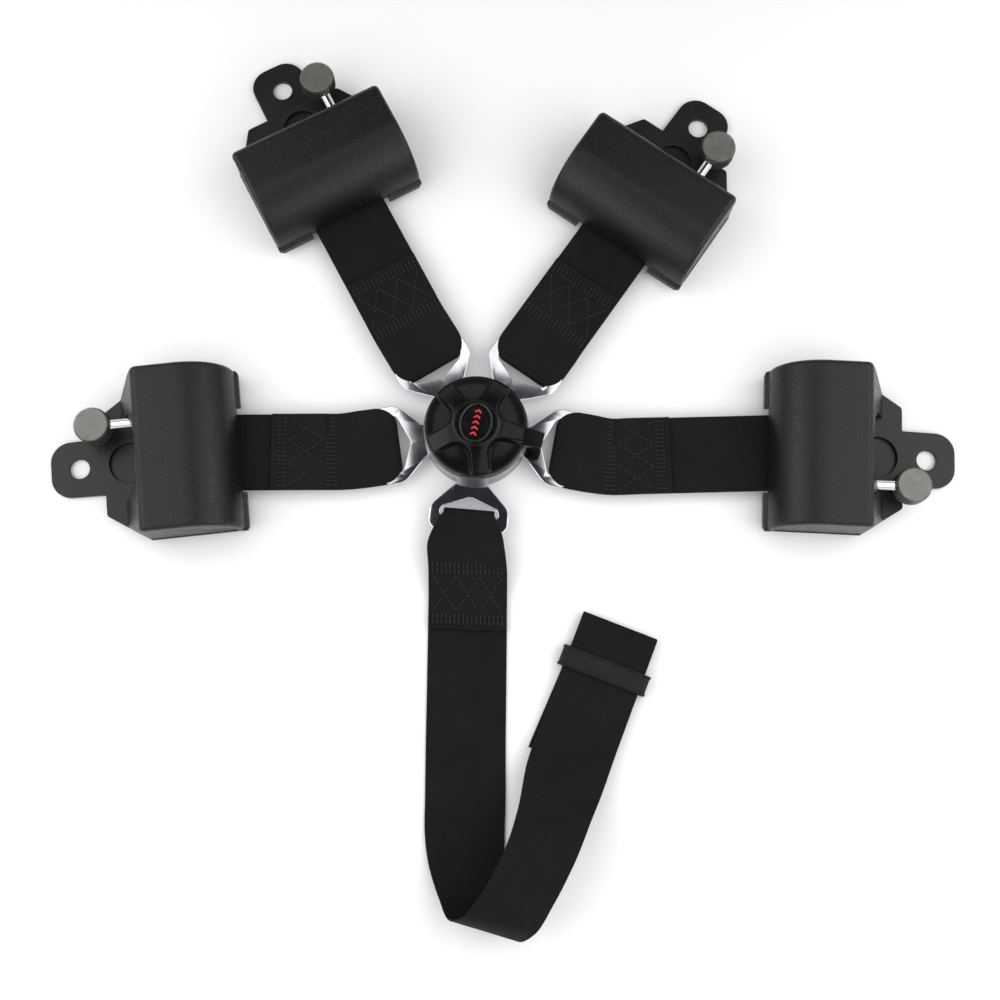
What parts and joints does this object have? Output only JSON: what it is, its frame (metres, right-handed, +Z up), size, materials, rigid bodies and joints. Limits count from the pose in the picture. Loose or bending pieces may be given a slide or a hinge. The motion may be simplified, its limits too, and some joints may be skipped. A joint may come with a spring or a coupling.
{
  "type": "racing harness",
  "caption": "Laid-out race harness: round cam-lock buckle, plated tongues, push-release webbing reels with bolt-on ears, and a folded crotch strap in a keeper.",
  "frame": {"origin": "on the buckle's axis in the plane of its flat back, which is the surface that the harness lies on", "axes": "+Z up out of the dial, +Y towards the shoulder belts, +X towards the right lap belt"},
  "size_m": [0.5616, 0.546, 0.043],
  "materials": {
    "webbing": "woven, satin",
    "chrome_plate": "polished",
    "black_steel": "satin black coating",
    "grained_cover": "leather grain",
    "knob_metal": "knurled, satin",
    "housing_silver": "satin die-cast",
    "dial_black": "satin",
    "badge_gloss": "gloss",
    "bare_steel": "machined",
    "spring_steel": "tempered strip and wire",
    "cup_plastic": "moulded",
    "keeper_rubber": "moulded, matte"
  },
  "bodies": {
    "buckle": {"buckle_base": "bare_steel", "buckle_housing": "housing_silver", "buckle_screws": "bare_steel"},
    "dial": {"release_dial": "dial_black", "dial_badge": "badge_gloss", "cam_spindle": "bare_steel"},
    "latch": {"latch_ring": "bare_steel", "latch_spring": "spring_steel"},
    "belt_lap_left": {"lap_left_tongue": "chrome_plate", "lap_left_webbing": "webbing"},
    "reel_lap_left": {"lap_left_mounting_bracket": "black_steel", "lap_left_reel_frame": "black_steel", "lap_left_reel_cover": "grained_cover", "lap_left_spring_cup": "cup_plastic", "lap_left_rewind_spring": "spring_steel"},
    "spool_lap_left": {"lap_left_spool": "bare_steel", "lap_left_webbing_roll": "webbing"},
    "release_lap_left": {"lap_left_locking_bar": "bare_steel", "lap_left_release_rod": "chrome_plate", "lap_left_release_knob": "knob_metal"},
    "belt_lap_right": {"lap_right_tongue": "chrome_plate", "lap_right_webbing": "webbing"},
    "reel_lap_right": {"lap_right_mounting_bracket": "black_steel", "lap_right_reel_frame": "black_steel", "lap_right_reel_cover": "grained_cover", "lap_right_spring_cup": "cup_plastic", "lap_right_rewind_spring": "spring_steel"},
    "spool_lap_right": {"lap_right_spool": "bare_steel", "lap_right_webbing_roll": "webbing"},
    "release_lap_right": {"lap_right_locking_bar": "bare_steel", "lap_right_release_rod": "chrome_plate", "lap_right_release_knob": "knob_metal"},
    "belt_shoulder_left": {"shoulder_left_tongue": "chrome_plate", "shoulder_left_webbing": "webbing"},
    "reel_shoulder_left": {"shoulder_left_mounting_bracket": "black_steel", "shoulder_left_reel_frame": "black_steel", "shoulder_left_reel_cover": "grained_cover", "shoulder_left_spring_cup": "cup_plastic", "shoulder_left_rewind_spring": "spring_steel"},
    "spool_shoulder_left": {"shoulder_left_spool": "bare_steel", "shoulder_left_webbing_roll": "webbing"},
    "release_shoulder_left": {"shoulder_left_locking_bar": "bare_steel", "shoulder_left_release_rod": "chrome_plate", "shoulder_left_release_knob": "knob_metal"},
    "belt_shoulder_right": {"shoulder_right_tongue": "chrome_plate", "shoulder_right_webbing": "webbing"},
    "reel_shoulder_right": {"shoulder_right_mounting_bracket": "black_steel", "shoulder_right_reel_frame": "black_steel", "shoulder_right_reel_cover": "grained_cover", "shoulder_right_spring_cup": "cup_plastic", "shoulder_right_rewind_spring": "spring_steel"},
    "spool_shoulder_right": {"shoulder_right_spool": "bare_steel", "shoulder_right_webbing_roll": "webbing"},
    "release_shoulder_right": {"shoulder_right_locking_bar": "bare_steel", "shoulder_right_release_rod": "chrome_plate", "shoulder_right_release_knob": "knob_metal"},
    "belt_crotch": {"crotch_tongue": "chrome_plate", "crotch_webbing": "webbing"},
    "keeper": {"strap_keeper": "keeper_rubber"}
  },
  "joints": [
    {"name": "dial_turn", "type": "hinge", "parent": "buckle", "child": "dial", "pos_m": [0, 0, 0.02], "axis": [0, 0, -1], "range_deg": [0, 30], "stiffness_Nm_per_rad": 0.2, "springref_deg": -14.32},
    {"name": "latch_lift", "type": "slide", "parent": "buckle", "child": "latch", "axis": [0, 0, 1], "range_m": [0, 0.0015], "deforming": ["latch_spring"]},
    {"name": "lap_left_tongue_out", "type": "slide", "parent": "buckle", "child": "belt_lap_left", "axis": [-0.9833, -0.1822, 0], "range_m": [0, 0.025]},
    {"name": "lap_left_payout", "type": "slide", "parent": "belt_lap_left", "child": "reel_lap_left", "axis": [-0.999, -0.0448, 0], "range_m": [0, 0.025], "stiffness_N_per_m": 15, "springref_m": -0.05},
    {"name": "lap_left_spool_turn", "type": "hinge", "parent": "reel_lap_left", "child": "spool_lap_left", "pos_m": [-0.17751, -0.02145, 0.0245], "axis": [0.1478, -0.989, 0], "range_deg": [0, 100]},
    {"name": "lap_left_release_press", "type": "hinge", "parent": "reel_lap_left", "child": "release_lap_left", "pos_m": [-0.19729, -0.0244, 0.0215], "axis": [0.1478, -0.989, 0], "range_deg": [0, 10], "stiffness_Nm_per_rad": 0.5, "springref_deg": -8.59},
    {"name": "lap_right_tongue_out", "type": "slide", "parent": "buckle", "child": "belt_lap_right", "axis": [0.9903, -0.1392, 0], "range_m": [0, 0.025]},
    {"name": "lap_right_payout", "type": "slide", "parent": "belt_lap_right", "child": "reel_lap_right", "axis": [0.9978, 0.0666, 0], "range_m": [0, 0.025], "stiffness_N_per_m": 15, "springref_m": -0.05},
    {"name": "lap_right_spool_turn", "type": "hinge", "parent": "reel_lap_right", "child": "spool_lap_right", "pos_m": [0.213, -0.00391, 0.0245], "axis": [0.0087, 1, 0], "range_deg": [0, 100]},
    {"name": "lap_right_release_press", "type": "hinge", "parent": "reel_lap_right", "child": "release_lap_right", "pos_m": [0.233, -0.00408, 0.0215], "axis": [0.0087, 1, 0], "range_deg": [0, 10], "stiffness_Nm_per_rad": 0.5, "springref_deg": -8.59},
    {"name": "shoulder_left_tongue_out", "type": "slide", "parent": "buckle", "child": "belt_shoulder_left", "axis": [-0.5519, 0.8339, 0], "range_m": [0, 0.025]},
    {"name": "shoulder_left_payout", "type": "slide", "parent": "belt_shoulder_left", "child": "reel_shoulder_left", "axis": [-0.5022, 0.8647, 0], "range_m": [0, 0.025], "stiffness_N_per_m": 15, "springref_m": -0.05},
    {"name": "shoulder_left_spool_turn", "type": "hinge", "parent": "reel_shoulder_left", "child": "spool_shoulder_left", "pos_m": [-0.10265, 0.16714, 0.0245], "axis": [-0.866, -0.5, 0], "range_deg": [0, 100]},
    {"name": "shoulder_left_release_press", "type": "hinge", "parent": "reel_shoulder_left", "child": "release_shoulder_left", "pos_m": [-0.11265, 0.18446, 0.0215], "axis": [-0.866, -0.5, 0], "range_deg": [0, 10], "stiffness_Nm_per_rad": 0.5, "springref_deg": -8.59},
    {"name": "shoulder_right_tongue_out", "type": "slide", "parent": "buckle", "child": "belt_shoulder_right", "axis": [0.5446, 0.8387, 0], "range_m": [0, 0.025]},
    {"name": "shoulder_right_payout", "type": "slide", "parent": "belt_shoulder_right", "child": "reel_shoulder_right", "axis": [0.5421, 0.8403, 0], "range_m": [0, 0.025], "stiffness_N_per_m": 15, "springref_m": -0.05},
    {"name": "shoulder_right_spool_turn", "type": "hinge", "parent": "reel_shoulder_right", "child": "spool_shoulder_right", "pos_m": [0.09932, 0.15397, 0.0245], "axis": [-0.8443, 0.5358, 0], "range_deg": [0, 100]},
    {"name": "shoulder_right_release_press", "type": "hinge", "parent": "reel_shoulder_right", "child": "release_shoulder_right", "pos_m": [0.11004, 0.17086, 0.0215], "axis": [-0.8443, 0.5358, 0], "range_deg": [0, 10], "stiffness_Nm_per_rad": 0.5, "springref_deg": -8.59},
    {"name": "crotch_tongue_out", "type": "slide", "parent": "buckle", "child": "belt_crotch", "axis": [-0.0471, -0.9989, 0], "range_m": [0, 0.025]},
    {"name": "keeper_slide", "type": "slide", "parent": "belt_crotch", "child": "keeper", "axis": [0.3256, 0.9455, 0], "range_m": [-0.012, 0.012]}
  ],
  "couplings": [
    {"joint": "dial_turn", "follows": "latch_lift", "rad_per_m": 348.72},
    {"joint": "lap_left_spool_turn", "follows": "lap_left_payout", "rad_per_m": 68.966},
    {"joint": "lap_right_spool_turn", "follows": "lap_right_payout", "rad_per_m": 68.966},
    {"joint": "shoulder_left_spool_turn", "follows": "shoulder_left_payout", "rad_per_m": 68.966},
    {"joint": "shoulder_right_spool_turn", "follows": "shoulder_right_payout", "rad_per_m": 68.966}
  ]
}
